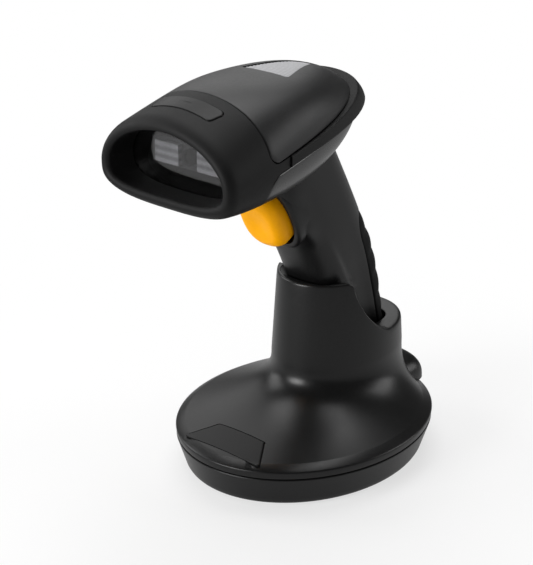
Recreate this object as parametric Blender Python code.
"""A cordless barcode scanner with a pistol grip, standing in its charging cradle.

Metres, +Z up. The scanner looks along -Y, and X = 0 is its plane of symmetry. The origin is on the
table, under the middle of the whole object. Shapes are written in the cradle's frame, whose origin is
under the middle of the oval base, and two empties carry the cradle and the scanner.
"""

import math

import bmesh
import bpy
from mathutils import Matrix, Vector

MM = 0.001

# Clearances and walls
GAP = 0.3 * MM
RUNNING_GAP = 0.4 * MM
CRADLE_WALL = 2.4 * MM
HEAD_WALL = 2.2 * MM
GRIP_WALL = 2.4 * MM
OVERLAP = 0.8 * MM
CUT_REACH = 4.0 * MM

# Facets
BASE_SIDES = 36
BELL_STEPS = 6
BOOT_STEPS = 6
ARCH_STEPS = 12
HEAD_STATIONS = 10
BAND_STEPS = 12
BAND_ROWS = 2
GRIP_SIDES = 24
ROUND_SIDES = 12
SCREW_SIDES = 8
RIB_STEPS = 4
COVER_COLUMNS = 10
SHARP_ANGLE = math.radians(32.0)

# Oval base of the cradle
BASE_HALF_WIDTH = 55.0 * MM
BASE_HALF_LENGTH = 65.5 * MM
BASE_EDGE_Z = 19.0 * MM
SEAM_Z = 15.6 * MM
CHAMFER_WIDTH = 4.0 * MM
CHAMFER_RISE = 2.4 * MM
TRAY_TAPER = 4.4 * MM
TRAY_FLOOR = 2.4 * MM
SEAM_STEP = 0.3 * MM

# Bell and neck of the cradle
NECK_Y = 23.0 * MM
NECK_FOOT_Z = 46.0 * MM
NECK_FOOT_HALF_WIDTH = 27.3 * MM
NECK_FOOT_HALF_LENGTH = 35.0 * MM
NECK_TOP_Z = 86.0 * MM
NECK_TOP_HALF_WIDTH = 24.8 * MM
NECK_TOP_HALF_LENGTH = 32.6 * MM
BELL_FLARE = 3.0
BELL_SPACING = 1.6
RIM_REAR_Z = 57.5 * MM
RIM_CORNER_Y = 7.0 * MM
RIM_NOTCH_Y = 30.0 * MM
RIM_CORNER_RADIUS = 3.0 * MM
RIM_CORNER_STEPS = 3
RIM_FALL_STEPS = 6
RIM_FALL_SPACING = 1.4
RIM_FALL_POWER = 1.5
HOLLOW_TOP_Z = 52.0 * MM

# Hood over the cable socket, at the rear of the base
HOOD_HALF_WIDTH = 22.0 * MM
HOOD_TOP_Z = 32.0 * MM
HOOD_REAR_INSET = 1.2 * MM
HOOD_ROUNDING = 3.0
HOOD_DEPTH = 26.0 * MM
HOOD_SIDES = 12
HOOD_ENDING = ((0.0, 1.0), (0.7, 1.0), (0.92, 0.94), (1.0, 0.84))
SOCKET_WIDTH = 16.0 * MM
SOCKET_HEIGHT = 9.0 * MM
SOCKET_DEPTH = 12.0 * MM
SOCKET_WALL = 1.6 * MM
SOCKET_INSET = 0.4 * MM

# Seat of the grip, and the way the scanner lifts out
SEAT_Y = 37.0 * MM
SEAT_Z = 30.0 * MM
LIFT_TILT = math.radians(16.5)
SEAT_CLEARANCE = 1.5 * MM
MOUTH_CLEARANCE = 1.8 * MM
SEAT_FLOOR = 4.0 * MM

# Grip: its axis is an arc that leans further forward towards the top
GRIP_LENGTH = 130.0 * MM
GRIP_TOP_TILT = math.radians(28.0)
GRIP_SQUARENESS = 3.2
GRIP_FOOT = (13.5 * MM, 14.5 * MM, 14.0 * MM)
GRIP_REST = (15.0 * MM, 17.0 * MM, 16.0 * MM)
GRIP_RIM = (16.0 * MM, 19.6 * MM, 19.0 * MM)
GRIP_WAIST = (16.5 * MM, 20.5 * MM, 17.3 * MM)
GRIP_TRIGGER = (17.0 * MM, 24.0 * MM, 14.5 * MM)
GRIP_NECK = (17.5 * MM, 26.0 * MM, 13.0 * MM)
GRIP_REST_AT = 29.0 * MM
GRIP_RIM_AT = 60.0 * MM
GRIP_WAIST_AT = 80.0 * MM
GRIP_TRIGGER_DROP = 18.0 * MM
GRIP_TRIGGER_AT = GRIP_LENGTH - GRIP_TRIGGER_DROP
GRIP_INTO_HEAD = 12.0 * MM
GRIP_PASSAGE = 8.0 * MM
END_CAP_HEIGHT = 3.0 * MM
END_SPIGOT = 5.0 * MM
END_BEVEL = 0.6 * MM

# Battery and its cover at the back of the grip
BATTERY_RADIUS = 9.1 * MM
BATTERY_LENGTH = 65.0 * MM
BATTERY_BEVEL = 0.8 * MM
CONTACT_THICKNESS = 0.8 * MM
CONTACT_RADIUS = 5.0 * MM
BEND_ALLOWANCE = 0.4 * MM
SHELF_THICKNESS = 2.2 * MM
COVER_FOOT_AT = 14.0 * MM
COVER_HALF_ANGLE = math.radians(74.0)
COVER_CORNER = 14.0 * MM
COVER_CORNER_ANGLE = math.radians(24.0)
COVER_ABOVE_SHELF = 8.5 * MM
COVER_RIBS = 6
COVER_RIB_DEPTH = 0.5 * MM
COVER_INSET = 0.3 * MM

# Head: superelliptic sections, wide at the nose and blunt at the tail, where the belt line climbs
HEAD_LENGTH = 106.4 * MM
HEAD_HALF_WIDTH = 36.4 * MM
HEAD_RISE = 29.0 * MM
HEAD_DROP = 24.7 * MM
HEAD_TAIL_BEHIND = 28.0 * MM
HEAD_BELT_ABOVE = 14.1 * MM
NOSE_BELT_SAG = 8.8 * MM
NOSE_BELT_CURVE = 2.2
TAIL_BELT_LIFT = 5.5 * MM
TAIL_BELT_CURVE = 5.6
NOSE_CROWN_SAG = 5.8 * MM
NOSE_CROWN_CURVE = 2.5
NOSE_KEEL_LIFT = 11.6 * MM
NOSE_KEEL_CURVE = 4.0
PLAN_TAPER = 1.9
PLAN_ROUNDING = 3.28
CROWN_TAPER = 4.19
CROWN_ROUNDING = 1.6
KEEL_TAPER = 4.16
KEEL_ROUNDING = 1.43
CROWN_POWER = 1.92
FLAT_AT = 0.56
FLAT_SPREAD = 0.24
FLAT_DIP = 3.2 * MM
FLAT_POWER = 1.04
KEEL_POWER = 2.4
NOSE_KEEL_POWER = 3.2
ARCH_END = 0.96
HEAD_END = 0.985

# Rubber nose
BOOT_LENGTH = 24.6 * MM
BOOT_LIP = 3.0 * MM
BOOT_LIP_WIDTH = 5.4 * MM
BOOT_TUNNEL_TAPER = 1.6 * MM
BOOT_WALL = 2.8 * MM
BOOT_OUTER_LIP = ((1.6, 0.0), (0.45, 0.3), (0.0, 1.0))
BOOT_INNER_LIP = ((0.15, 0.6), (0.7, 1.0))
BOOT_MIDDLE = 0.6
TAB_LENGTH = 12.5 * MM
TAB_LINES = 3
TAB_EDGE = math.radians(1.6)
WINDOW_DEPTH = 13.5 * MM
WINDOW_THICKNESS = 1.5 * MM

# Rubber band round the tail
BAND_PROUD = 0.7 * MM
BAND_FLARE = 3.5 * MM
BAND_TOP_START = 1.6 * MM
BAND_TOP_CLIMB = 8.5 * MM
BAND_TOP_CURVE = 1.6
BAND_FOOT_START = 3.4 * MM
BAND_FOOT_CLIMB = 3.7 * MM
SEAM_GAP = 0.4 * MM

# Status light, badges
LENS_FRONT_BACK = 61.5 * MM
LENS_LENGTH = 29.0 * MM
LENS_HALF_WIDTH = 12.2 * MM
LENS_TIP_HALF_WIDTH = 2.2 * MM
LENS_SUNK = 0.5 * MM
LENS_STEM_RADIUS = 2.5 * MM
NOSE_BADGE_BACK = 10.7 * MM
NOSE_BADGE_LENGTH = 8.1 * MM
NOSE_BADGE_FRONT_HALF = 15.6 * MM
NOSE_BADGE_REAR_HALF = 17.2 * MM
BADGE_THICKNESS = 0.9 * MM
BADGE_PROUD = 0.3 * MM
BASE_BADGE_FRONT_IN = 7.0 * MM
BASE_BADGE_LENGTH = 14.0 * MM
BASE_BADGE_FRONT_HALF = 22.6 * MM
BASE_BADGE_REAR_HALF = 13.4 * MM

# Boards and what they carry
BOARD_THICKNESS = 1.6 * MM
BOARD_BELOW_BELT = 11.9 * MM
BOARD_HALF_WIDTH = 18.0 * MM
BOARD_FRONT_BACK = 23.0 * MM
BOARD_LENGTH = 51.5 * MM
ENGINE_HALF_WIDTH = 22.0 * MM
ENGINE_HEIGHT = 11.5 * MM
ENGINE_DEPTH = 15.0 * MM
LIGHT_BAR_WIDTH = 13.0 * MM
LIGHT_BAR_HEIGHT = 9.0 * MM
LIGHT_BAR_DEPTH = 2.4 * MM
LIGHT_BAR_FROM_LENS = 1.5 * MM
ENGINE_LENS_RADIUS = 3.6 * MM
ENGINE_LENS_SEAT = 3.0 * MM
ENGINE_LENS_MOUTH = 0.72
ENGINE_LENS_BOTTOM = 0.6
POST_RADIUS = 2.6 * MM
BEEPER_RADIUS = 6.0 * MM
BEEPER_HEIGHT = 4.0 * MM
RADIO_SIZE = (12.0 * MM, 14.0 * MM, 2.4 * MM)
BOARD_EDGE = 1.0 * MM
LED_SIZE = (5.0 * MM, 5.0 * MM, 2.0 * MM)

# Trigger, its pin and its switch
TRIGGER_HALF_WIDTH = 11.5 * MM
TRIGGER_HALF_HEIGHT = 15.0 * MM
TRIGGER_ROUNDNESS = 2.5
TRIGGER_INNER_END = 17.0 * MM
TRIGGER_OUTER_END = 33.0 * MM
TRIGGER_DISH = 0.9 * MM
TRIGGER_BROW_DEPTH = 3.5 * MM
TRIGGER_BROW = ((1.0, 0.95), (0.34, 0.84), (0.0, 0.64))
TRIGGER_HOLLOW = ((0.6, 0.38), (1.0, 0.14))
TRIGGER_BACK_BEVEL = 2.0 * MM
TRIGGER_BACK_SCALE = 0.92
TRIGGER_ROOT = 1.0 * MM
TRIGGER_HOLE_DEPTH = 2.0 * MM
TRIGGER_SIDE_GAP = 1.1 * MM
TRIGGER_FOOT_GAP = 0.8 * MM
TRIGGER_COLLAR = 3.0 * MM
COLLAR_FRONT = 25.5 * MM
COLLAR_ROUNDING = 1.5 * MM
PIVOT_UP = 9.5 * MM
PIVOT_OUT = 11.5 * MM
PIN_RADIUS = 1.2 * MM
PIN_HALF_LENGTH = 11.0 * MM
LUG_RADIUS = 3.2 * MM
LUG_HALF_WIDTH = 5.5 * MM
NUB_DOWN = 9.0 * MM
NUB_LENGTH = 2.0 * MM
NUB_HALF = 2.0 * MM
PLUNGER_RADIUS = 1.5 * MM
PLUNGER_REACH = 3.2 * MM
PLUNGER_LENGTH = 5.0 * MM
SWITCH_SIZE = (10.0 * MM, 8.0 * MM, 5.0 * MM)
SWITCH_FLOOR = 1.0 * MM
SWITCH_BOARD_SIZE = (16.0 * MM, 20.0 * MM)
BULKHEAD_THICKNESS = 2.4 * MM

# Screws
SCREW_HEAD_RADIUS = 2.5 * MM
SCREW_HEAD_HEIGHT = 1.8 * MM
SCREW_SHANK_RADIUS = 1.1 * MM
SCREW_LENGTH = 11.0 * MM
SCREW_SEAT = 2.2 * MM
SCREW_BOSS_RADIUS = 3.7 * MM
SCREW_DRIVE = 0.5
SCREW_DRIVE_DEPTH = 0.55
SCREW_POINT = 0.35
PILOT_END = 2.0 * MM
HEAD_SCREW_X = 23.5 * MM
HEAD_SCREW_BACK = 60.0 * MM
HEAD_SCREW_SINK = 3.0 * MM
HEAD_JOINT_ABOVE_BOARD = 3.0 * MM
COVER_SCREW_LENGTH = 5.0 * MM
COVER_SCREW_ABOVE_SHELF = 2.5 * MM
COVER_SCREW_SEAT = 0.9 * MM
TRAY_SCREW_X = 34.0 * MM
TRAY_SCREW_Y = 32.0 * MM

# Feet, ballast, cradle board and charging contacts
FOOT_RADIUS = 6.0 * MM
FOOT_HEIGHT = 2.4 * MM
FOOT_PROUD = 1.2 * MM
FOOT_BEVEL = 0.6 * MM
FOOT_X = 18.0 * MM
FOOT_Y = 46.0 * MM
BALLAST_HALF_WIDTH = 25.0 * MM
BALLAST_HALF_LENGTH = 22.0 * MM
BALLAST_HEIGHT = 8.0 * MM
BALLAST_BEVEL = 1.0 * MM
BALLAST_Y = -24.0 * MM
CRADLE_BOARD_HALF_WIDTH = 19.0 * MM
CRADLE_BOARD_FRONT_Y = 8.0 * MM
CRADLE_BOARD_REAR_IN = 8.5 * MM
CRADLE_BOARD_ABOVE_SEAM = 0.8 * MM
BLOCK_SIZE = (20.0 * MM, 8.0 * MM)
BLOCK_FLANGE = 2.5 * MM
BLOCK_FLANGE_HEIGHT = 3.0 * MM
CONTACT_X = 6.0 * MM
BARREL_RADIUS = 1.9 * MM
BARREL_WALL = 0.6 * MM
BARREL_LENGTH = 7.0 * MM
BARREL_SINK = 0.5 * MM
CHARGE_PIN_RADIUS = 0.9 * MM
CHARGE_PIN_LENGTH = 5.6 * MM
PAD_RADIUS = 2.8 * MM
PAD_THICKNESS = 0.8 * MM
PAD_RECESS = 0.2 * MM

# Colours (linear), roughness, metallic
BLACK_RUBBER = ((0.012, 0.012, 0.013), 0.62, 0.0)
BLACK_TEXTURED = ((0.016, 0.016, 0.017), 0.55, 0.0)
BLACK_SATIN = ((0.010, 0.010, 0.011), 0.38, 0.0)
BADGE_BLACK = ((0.006, 0.006, 0.007), 0.22, 0.0)
TRIGGER_YELLOW = ((0.78, 0.34, 0.004), 0.38, 0.0)
LENS_GREY = ((0.42, 0.43, 0.43), 0.35, 0.0)
WINDOW_BLACK = ((0.004, 0.004, 0.005), 0.06, 0.0)
ENGINE_GREY = ((0.05, 0.05, 0.055), 0.45, 0.0)
LIGHT_BAR_GREY = ((0.35, 0.36, 0.37), 0.25, 0.0)
BOARD_GREEN = ((0.01, 0.09, 0.04), 0.45, 0.0)
CELL_BLUE = ((0.03, 0.07, 0.20), 0.40, 0.0)
STEEL = ((0.55, 0.55, 0.56), 0.30, 1.0)
BRASS = ((0.78, 0.55, 0.20), 0.28, 1.0)
FOOT_RUBBER = ((0.02, 0.02, 0.02), 0.80, 0.0)


def clear_scene():
    for obj in list(bpy.data.objects):
        bpy.data.objects.remove(obj, do_unlink=True)


def make_material(name, finish):
    colour, roughness, metallic = finish
    material = bpy.data.materials.new(name)
    material.use_nodes = True
    shader = material.node_tree.nodes["Principled BSDF"]
    shader.inputs["Base Color"].default_value = (*colour, 1.0)
    shader.inputs["Roughness"].default_value = roughness
    shader.inputs["Metallic"].default_value = metallic
    return material


def make_empty(name, place, parent=None):
    empty = bpy.data.objects.new(name, None)
    bpy.context.scene.collection.objects.link(empty)
    empty.location = place
    empty.parent = parent
    return empty


def make_mesh(name, points, faces):
    """A mesh whose faces all point outwards."""
    mesh = bpy.data.meshes.new(name)
    mesh.from_pydata([tuple(point) for point in points], [], faces)
    work = bmesh.new()
    work.from_mesh(mesh)
    bmesh.ops.recalc_face_normals(work, faces=work.faces)
    work.to_mesh(mesh)
    work.free()
    mesh.update()
    return mesh


def make_node(name, shape, finish, parent, origin=Vector((0.0, 0.0, 0.0))):
    """One named piece. Its shape is given in the cradle's frame, and its origin is where it is held."""
    points, faces = shape
    mesh = make_mesh(name, [Vector(point) - origin for point in points], faces)
    mesh.materials.append(make_material(name, finish))
    obj = bpy.data.objects.new(name, mesh)
    bpy.context.scene.collection.objects.link(obj)
    obj.parent = parent
    obj.location = origin - frame_place(parent)
    mesh.shade_smooth()
    mesh.set_sharp_from_angle(angle=SHARP_ANGLE)
    return obj


def frame_place(empty):
    """Where an empty is in the cradle's frame."""
    if empty is None or empty.parent is None:
        return Vector((0.0, 0.0, 0.0))
    return frame_place(empty.parent) + empty.location


def make_helper(name, shape):
    """A hidden shape in the cradle's frame, for a Boolean."""
    points, faces = shape
    helper = bpy.data.objects.new(name, make_mesh(name, points, faces))
    bpy.context.scene.collection.objects.link(helper)
    helper.parent = CRADLE_FRAME
    helper.hide_render = True
    helper.display_type = "WIRE"
    return helper


def cut_by(target, helper, operation="DIFFERENCE"):
    modifier = target.modifiers.new(helper.name, "BOOLEAN")
    modifier.operation = operation
    modifier.solver = "EXACT"
    modifier.object = helper


def cut(target, shape, operation="DIFFERENCE"):
    """Takes a shape away from a piece, or joins it to the piece."""
    helper = make_helper(f"{target.name}_tool_{len(target.modifiers)}", shape)
    cut_by(target, helper, operation)


# Shapes are pairs of points and faces


def loft(rings, loop=False):
    """Rings of equal count, joined in order, with flat ends, or joined back to the first as a loop."""
    count = len(rings[0])
    points = [point for ring in rings for point in ring]
    faces = []
    last = len(rings) if loop else len(rings) - 1
    for k in range(last):
        a = k * count
        b = ((k + 1) % len(rings)) * count
        for i in range(count):
            j = (i + 1) % count
            faces.append((a + i, a + j, b + j, b + i))
    if not loop:
        faces.append(tuple(range(count)))
        faces.append(tuple(range(len(points) - count, len(points))))
    return points, faces


def slab(outer, inner):
    """A curved plate between two grids of points of the same size."""
    rows = len(outer)
    columns = len(outer[0])
    points = [point for row in outer for point in row]
    points += [point for row in inner for point in row]
    below = rows * columns
    faces = []
    for i in range(rows - 1):
        for j in range(columns - 1):
            a = i * columns + j
            faces.append((a, a + 1, a + columns + 1, a + columns))
            faces.append((below + a, below + a + columns, below + a + columns + 1, below + a + 1))
    edge = [j for j in range(columns)]
    edge += [i * columns + columns - 1 for i in range(1, rows)]
    edge += [(rows - 1) * columns + j for j in range(columns - 2, -1, -1)]
    edge += [i * columns for i in range(rows - 2, 0, -1)]
    for k, a in enumerate(edge):
        b = edge[(k + 1) % len(edge)]
        faces.append((a, below + a, below + b, b))
    return points, faces


def box(low, high):
    rings = []
    for z in (low[2], high[2]):
        rings.append(
            [
                Vector((low[0], low[1], z)),
                Vector((high[0], low[1], z)),
                Vector((high[0], high[1], z)),
                Vector((low[0], high[1], z)),
            ]
        )
    return loft(rings)


def placed(shape, frame):
    """A shape moved into a frame given as a matrix."""
    points, faces = shape
    return [frame @ Vector(point) for point in points], faces


def turned(profile, sides=ROUND_SIDES):
    """A solid of revolution about Z from (radius, height) pairs, flat at both ends."""
    rings = []
    for radius, height in profile:
        ring = []
        for k in range(sides):
            angle = 2.0 * math.pi * k / sides
            ring.append(Vector((radius * math.cos(angle), radius * math.sin(angle), height)))
        rings.append(ring)
    return loft(rings)


def rod(radius, low, high, sides=ROUND_SIDES):
    return turned([(radius, low), (radius, high)], sides)


def screw_shape(length):
    """A pan screw that points up +Z, with its head's underside at 0 and a recess for the driver."""
    drive = SCREW_DRIVE * SCREW_HEAD_RADIUS
    return turned(
        [
            (drive, (SCREW_DRIVE_DEPTH - 1.0) * SCREW_HEAD_HEIGHT),
            (drive, -SCREW_HEAD_HEIGHT),
            (SCREW_HEAD_RADIUS, -SCREW_HEAD_HEIGHT),
            (SCREW_HEAD_RADIUS, 0.0),
            (SCREW_SHANK_RADIUS, 0.0),
            (SCREW_SHANK_RADIUS, length - SCREW_SHANK_RADIUS),
            (SCREW_POINT * SCREW_SHANK_RADIUS, length),
        ],
        SCREW_SIDES,
    )


def signed_power(value, power):
    return math.copysign(abs(value) ** power, value)


def mix(a, b, share):
    return a + (b - a) * share


def solve(function, low, high):
    """Where a function that falls from low to high passes zero."""
    for _ in range(50):
        middle = 0.5 * (low + high)
        if function(middle) > 0.0:
            low = middle
        else:
            high = middle
    return 0.5 * (low + high)


# Grip geometry

GRIP_BEND = (GRIP_TOP_TILT - LIFT_TILT) / GRIP_LENGTH
LIFT = Vector((0.0, -math.sin(LIFT_TILT), math.cos(LIFT_TILT)))
SEAT = Vector((0.0, SEAT_Y, SEAT_Z))


def grip_tilt(at):
    return LIFT_TILT + GRIP_BEND * at


def grip_axis(at):
    """A point of the grip's axis, at a distance along the arc from its foot."""
    tilt = grip_tilt(at)
    forward = (math.cos(LIFT_TILT) - math.cos(tilt)) / GRIP_BEND
    up = (math.sin(tilt) - math.sin(LIFT_TILT)) / GRIP_BEND
    return SEAT + Vector((0.0, -forward, up))


def grip_frame(at):
    """Axes across the grip: X to the right, Y out of its front, Z up along it."""
    tilt = grip_tilt(at)
    front = Vector((0.0, -math.cos(tilt), -math.sin(tilt)))
    up = Vector((0.0, -math.sin(tilt), math.cos(tilt)))
    right = front.cross(up)
    frame = Matrix((right, front, up)).transposed().to_4x4()
    frame.translation = grip_axis(at)
    return frame


GRIP_STATIONS = (
    (0.0, GRIP_FOOT),
    (GRIP_REST_AT, GRIP_REST),
    (GRIP_RIM_AT, GRIP_RIM),
    (GRIP_WAIST_AT, GRIP_WAIST),
    (GRIP_TRIGGER_AT, GRIP_TRIGGER),
    (GRIP_LENGTH, GRIP_NECK),
)


def grip_slope(k, part):
    """How fast a size changes at a station, taken from the stations on both sides."""
    low, first = GRIP_STATIONS[max(k - 1, 0)]
    high, second = GRIP_STATIONS[min(k + 1, len(GRIP_STATIONS) - 1)]
    return (second[part] - first[part]) / (high - low)


def grip_sizes(at):
    """Half width, reach to the front and reach to the back: smooth curves through the stations."""
    k = 0
    while k < len(GRIP_STATIONS) - 2 and at > GRIP_STATIONS[k + 1][0]:
        k += 1
    low, first = GRIP_STATIONS[k]
    high, second = GRIP_STATIONS[k + 1]
    span = high - low
    t = min((at - low) / span, 1.0)
    sizes = []
    for part in range(len(first)):
        start = first[part] + span * grip_slope(k, part) * t
        end = second[part] + span * grip_slope(k + 1, part) * (t - 1.0)
        sizes.append(mix(start, end, t * t * (3.0 - 2.0 * t)))
    return sizes


def grip_point(at, angle, grow=0.0):
    """A point of the grip's surface. Angle 0 is the right side and 90 degrees is the front."""
    half, front, back = grip_sizes(at)
    reach = front if math.sin(angle) > 0.0 else back
    across = (half + grow) * signed_power(math.cos(angle), 2.0 / GRIP_SQUARENESS)
    out = (reach + grow) * signed_power(math.sin(angle), 2.0 / GRIP_SQUARENESS)
    frame = grip_frame(at)
    return frame @ Vector((-across, out, 0.0))


def grip_ring(at, grow=0.0):
    return [grip_point(at, 2.0 * math.pi * k / GRIP_SIDES, grow) for k in range(GRIP_SIDES)]


def grip_patch(first, last, centre, half_angle, grow, steps, columns):
    """A grid on the grip's surface. half_angle and grow are functions of the distance along the grip."""
    rows = []
    for i in range(steps + 1):
        at = mix(first, last, i / steps)
        half = half_angle(at)
        row = []
        for j in range(columns + 1):
            angle = mix(centre - half, centre + half, j / columns)
            row.append(grip_point(at, angle, grow(at)))
        rows.append(row)
    return rows


GRIP_TOP = grip_axis(GRIP_LENGTH)
BATTERY_FOOT_AT = END_CAP_HEIGHT + END_SPIGOT + CONTACT_THICKNESS + 2.0 * GAP + BEND_ALLOWANCE
BATTERY_TOP_AT = BATTERY_FOOT_AT + BATTERY_LENGTH
SHELF_AT = BATTERY_TOP_AT + CONTACT_THICKNESS + 2.0 * GAP + BEND_ALLOWANCE
COVER_TOP_AT = SHELF_AT + COVER_ABOVE_SHELF
COVER_SCREW_AT = SHELF_AT + SHELF_THICKNESS + COVER_SCREW_ABOVE_SHELF
BACK = 1.5 * math.pi

# Head geometry

TAIL_Y = GRIP_TOP.y + HEAD_TAIL_BEHIND
NOSE_Y = TAIL_Y - HEAD_LENGTH
BELT_Z = GRIP_TOP.z + HEAD_BELT_ABOVE
BOOT_REAR_Y = NOSE_Y + BOOT_LENGTH
TAB_REAR_Y = BOOT_REAR_Y + TAB_LENGTH
WINDOW_Y = NOSE_Y + WINDOW_DEPTH
BOARD_Z = BELT_Z - BOARD_BELOW_BELT
BOARD_FRONT_Y = NOSE_Y + BOARD_FRONT_BACK


def head_share(y, grow=0.0):
    return min(max((y - NOSE_Y) / (HEAD_LENGTH + grow), 0.0), 1.0)


def flat_share(y):
    """How much of the flattened crown, where the status light lies, there is at a station."""
    return math.exp(-(((head_share(y) - FLAT_AT) / FLAT_SPREAD) ** 2))


def head_sizes(y, grow=0.0):
    """Half width, rise above the belt line, drop below it and the belt line's height, at a station."""
    t = head_share(y, grow)
    plan = (1.0 - t**PLAN_TAPER) ** (1.0 / PLAN_ROUNDING)
    crown = (1.0 - t**CROWN_TAPER) ** (1.0 / CROWN_ROUNDING)
    keel = (1.0 - t**KEEL_TAPER) ** (1.0 / KEEL_ROUNDING)
    half = (HEAD_HALF_WIDTH + grow) * plan
    rise = (HEAD_RISE + grow) * crown - NOSE_CROWN_SAG * (1.0 - t) ** NOSE_CROWN_CURVE
    rise -= FLAT_DIP * flat_share(y)
    drop = (HEAD_DROP + grow) * keel - NOSE_KEEL_LIFT * (1.0 - t) ** NOSE_KEEL_CURVE
    belt = BELT_Z - NOSE_BELT_SAG * (1.0 - t) ** NOSE_BELT_CURVE + TAIL_BELT_LIFT * t**TAIL_BELT_CURVE
    return half, rise, drop, belt


def crown_power(y):
    return CROWN_POWER + FLAT_POWER * flat_share(y)


def keel_power(y):
    return mix(KEEL_POWER, NOSE_KEEL_POWER, (1.0 - head_share(y)) ** 2)


def head_point(y, angle, grow=0.0):
    """A point of the head's surface. Angle 0 is the right side and 90 degrees is the crown."""
    half, rise, drop, belt = head_sizes(y, grow)
    upper = math.sin(angle) >= 0.0
    power = 2.0 / (crown_power(y) if upper else keel_power(y))
    x = half * signed_power(math.cos(angle), power)
    z = belt + (rise if upper else drop) * signed_power(math.sin(angle), power)
    return Vector((x, y, z))


def head_angle(y, z, grow=0.0):
    """The angle on the right side at which the head's surface has this height."""
    _, rise, drop, belt = head_sizes(y, grow)
    if z >= belt:
        share = min((z - belt) / rise, 1.0)
        return math.asin(share ** (crown_power(y) / 2.0))
    share = min((belt - z) / drop, 1.0)
    return -math.asin(share ** (keel_power(y) / 2.0))


def head_half_width(y, z, grow=0.0):
    return max(head_point(y, head_angle(y, z, grow), grow).x, 0.0)


def crown_height(x, y, grow=0.0):
    half, rise, _, belt = head_sizes(y, grow)
    power = crown_power(y)
    share = min(abs(x) / half, 1.0)
    return belt + rise * (1.0 - share**power) ** (1.0 / power)


def keel_height(x, y, grow=0.0):
    half, _, drop, belt = head_sizes(y, grow)
    power = keel_power(y)
    share = min(abs(x) / half, 1.0)
    return belt - drop * (1.0 - share**power) ** (1.0 / power)


def band_share(y):
    return (y - BOOT_REAR_Y) / (TAIL_Y - BOOT_REAR_Y)


def band_top(y):
    """Height of the band's upper edge, which climbs over the belt line towards the tail."""
    return head_sizes(y)[3] + BAND_TOP_START + BAND_TOP_CLIMB * band_share(y) ** BAND_TOP_CURVE


def band_foot(y):
    return head_sizes(y)[3] - BAND_FOOT_START + BAND_FOOT_CLIMB * band_share(y)


def band_flare(y):
    """How far the band stands out of the head's surface."""
    return BAND_PROUD + BAND_FLARE * band_share(y) ** 2


def tail_end(level, grow, share=1.0):
    """How far back the head's surface still has this height. Both are functions of the station."""

    def room(y):
        _, rise, drop, belt = head_sizes(y, grow(y))
        z = level(y)
        return share * rise - (z - belt) if z >= belt else share * drop - (belt - z)

    return solve(room, BOOT_REAR_Y, TAIL_Y + BAND_PROUD + BAND_FLARE)


def arch(level, first, steps, grow, upper):
    """A grid over the crown, or under the keel, from one level line on the sides to the other."""
    last = tail_end(level, lambda y: grow, ARCH_END)
    rows = []
    for i in range(steps + 1):
        y = mix(first, last, math.sin(0.5 * math.pi * i / steps))
        edge = head_angle(y, level(y), grow)
        far = math.pi - edge if upper else -math.pi - edge
        row = [head_point(y, mix(edge, far, j / ARCH_STEPS), grow) for j in range(ARCH_STEPS + 1)]
        rows.append(row)
    return rows


def plan_patch(front, rear, front_half, rear_half, height, rows=4, columns=8):
    """A grid over a four-sided outline seen from above, at a height given for each x and y."""
    grid = []
    for i in range(rows + 1):
        y = mix(front, rear, i / rows)
        half = mix(front_half, rear_half, i / rows)
        row = []
        for j in range(columns + 1):
            x = mix(-half, half, j / columns)
            row.append(Vector((x, y, height(x, y))))
        grid.append(row)
    return grid


# Cradle geometry


def oval(half_width, half_length, z, y=0.0, sides=BASE_SIDES):
    ring = []
    for k in range(sides):
        angle = 2.0 * math.pi * k / sides
        ring.append(Vector((half_width * math.cos(angle), y + half_length * math.sin(angle), z)))
    return ring


BELL_FOOT_Z = BASE_EDGE_Z + CHAMFER_RISE
BELL_FOOT_HALF_WIDTH = BASE_HALF_WIDTH - CHAMFER_WIDTH
BELL_FOOT_HALF_LENGTH = BASE_HALF_LENGTH - CHAMFER_WIDTH


def bell_sizes(z):
    """Half width, half length and middle of the bell or the neck at a height."""
    if z >= NECK_FOOT_Z:
        share = (z - NECK_FOOT_Z) / (NECK_TOP_Z - NECK_FOOT_Z)
        width = mix(NECK_FOOT_HALF_WIDTH, NECK_TOP_HALF_WIDTH, share)
        length = mix(NECK_FOOT_HALF_LENGTH, NECK_TOP_HALF_LENGTH, share)
        return width, length, NECK_Y
    share = 1.0 - ((NECK_FOOT_Z - z) / (NECK_FOOT_Z - BELL_FOOT_Z)) ** BELL_FLARE
    width = mix(BELL_FOOT_HALF_WIDTH, NECK_FOOT_HALF_WIDTH, share)
    length = mix(BELL_FOOT_HALF_LENGTH, NECK_FOOT_HALF_LENGTH, share)
    return width, length, NECK_Y * share


def bell_ring(z, inset=0.0):
    width, length, middle = bell_sizes(z)
    return oval(width - inset, length - inset, z, middle)


def bell_height(x, y):
    """Height of the bell's surface above a point of the base."""

    def outside(z):
        width, length, middle = bell_sizes(z)
        return 1.0 - (x / width) ** 2 - ((y - middle) / length) ** 2

    return solve(outside, BELL_FOOT_Z, NECK_FOOT_Z)


def bell_levels(top):
    """Heights of the bell's rings, closer together near its foot."""
    levels = []
    for k in range(BELL_STEPS + 1):
        levels.append(mix(BELL_FOOT_Z, NECK_FOOT_Z, (k / BELL_STEPS) ** BELL_SPACING))
    levels.append(mix(NECK_FOOT_Z, top, 0.5))
    levels.append(top)
    return levels


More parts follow.
